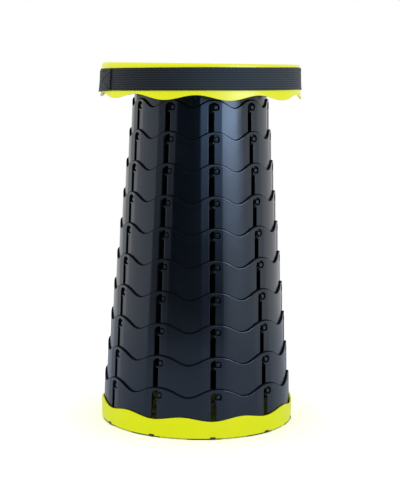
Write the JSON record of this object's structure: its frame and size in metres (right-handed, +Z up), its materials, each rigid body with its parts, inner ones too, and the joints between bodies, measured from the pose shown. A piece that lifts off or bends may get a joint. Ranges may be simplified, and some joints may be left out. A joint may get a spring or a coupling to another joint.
{
  "type": "collapsible telescopic stool",
  "caption": "Round telescopic stool: tapered slotted rings slide out of one another between a wavy base tray and a round seat with a webbing carry strap.",
  "frame": {"origin": "middle of the floor under the base, at the undersides of the foot pads", "axes": "+Z up, the strap's middle and the front towards -Y, the strap lugs left and right along X"},
  "size_m": [0.2604, 0.2515, 0.45],
  "materials": {
    "seat_plastic": "satin moulded",
    "base_plastic": "satin moulded",
    "ring_plastic": "satin moulded",
    "pad_rubber": "matt",
    "screw_steel": "plated",
    "strap_webbing": "woven"
  },
  "bodies": {
    "base": {"base_tray": "base_plastic", "ring_10": "ring_plastic", "foot_pad_01": "pad_rubber", "foot_pad_02": "pad_rubber", "foot_pad_03": "pad_rubber", "foot_pad_04": "pad_rubber", "foot_pad_05": "pad_rubber", "foot_pad_06": "pad_rubber", "foot_pad_07": "pad_rubber", "foot_pad_08": "pad_rubber", "foot_pad_09": "pad_rubber", "foot_pad_10": "pad_rubber"},
    "stage_09": {"ring_09": "ring_plastic"},
    "stage_08": {"ring_08": "ring_plastic"},
    "stage_07": {"ring_07": "ring_plastic"},
    "stage_06": {"ring_06": "ring_plastic"},
    "stage_05": {"ring_05": "ring_plastic"},
    "stage_04": {"ring_04": "ring_plastic"},
    "stage_03": {"ring_03": "ring_plastic"},
    "stage_02": {"ring_02": "ring_plastic"},
    "stage_01": {"ring_01": "ring_plastic"},
    "seat": {"seat_cap": "seat_plastic", "seat_collar": "ring_plastic", "seat_screws": "screw_steel", "strap": "strap_webbing"}
  },
  "joints": [
    {"name": "stage_09_slide", "type": "slide", "parent": "base", "child": "stage_09", "axis": [0, 0, -1], "range_m": [0, 0.0385]},
    {"name": "stage_08_slide", "type": "slide", "parent": "stage_09", "child": "stage_08", "axis": [0, 0, -1], "range_m": [0, 0.0385]},
    {"name": "stage_07_slide", "type": "slide", "parent": "stage_08", "child": "stage_07", "axis": [0, 0, -1], "range_m": [0, 0.0385]},
    {"name": "stage_06_slide", "type": "slide", "parent": "stage_07", "child": "stage_06", "axis": [0, 0, -1], "range_m": [0, 0.0385]},
    {"name": "stage_05_slide", "type": "slide", "parent": "stage_06", "child": "stage_05", "axis": [0, 0, -1], "range_m": [0, 0.0385]},
    {"name": "stage_04_slide", "type": "slide", "parent": "stage_05", "child": "stage_04", "axis": [0, 0, -1], "range_m": [0, 0.0385]},
    {"name": "stage_03_slide", "type": "slide", "parent": "stage_04", "child": "stage_03", "axis": [0, 0, -1], "range_m": [0, 0.0385]},
    {"name": "stage_02_slide", "type": "slide", "parent": "stage_03", "child": "stage_02", "axis": [0, 0, -1], "range_m": [0, 0.0385]},
    {"name": "stage_01_slide", "type": "slide", "parent": "stage_02", "child": "stage_01", "axis": [0, 0, -1], "range_m": [0, 0.0385]},
    {"name": "seat_slide", "type": "slide", "parent": "stage_01", "child": "seat", "axis": [0, 0, -1], "range_m": [0, 0.0385]}
  ]
}
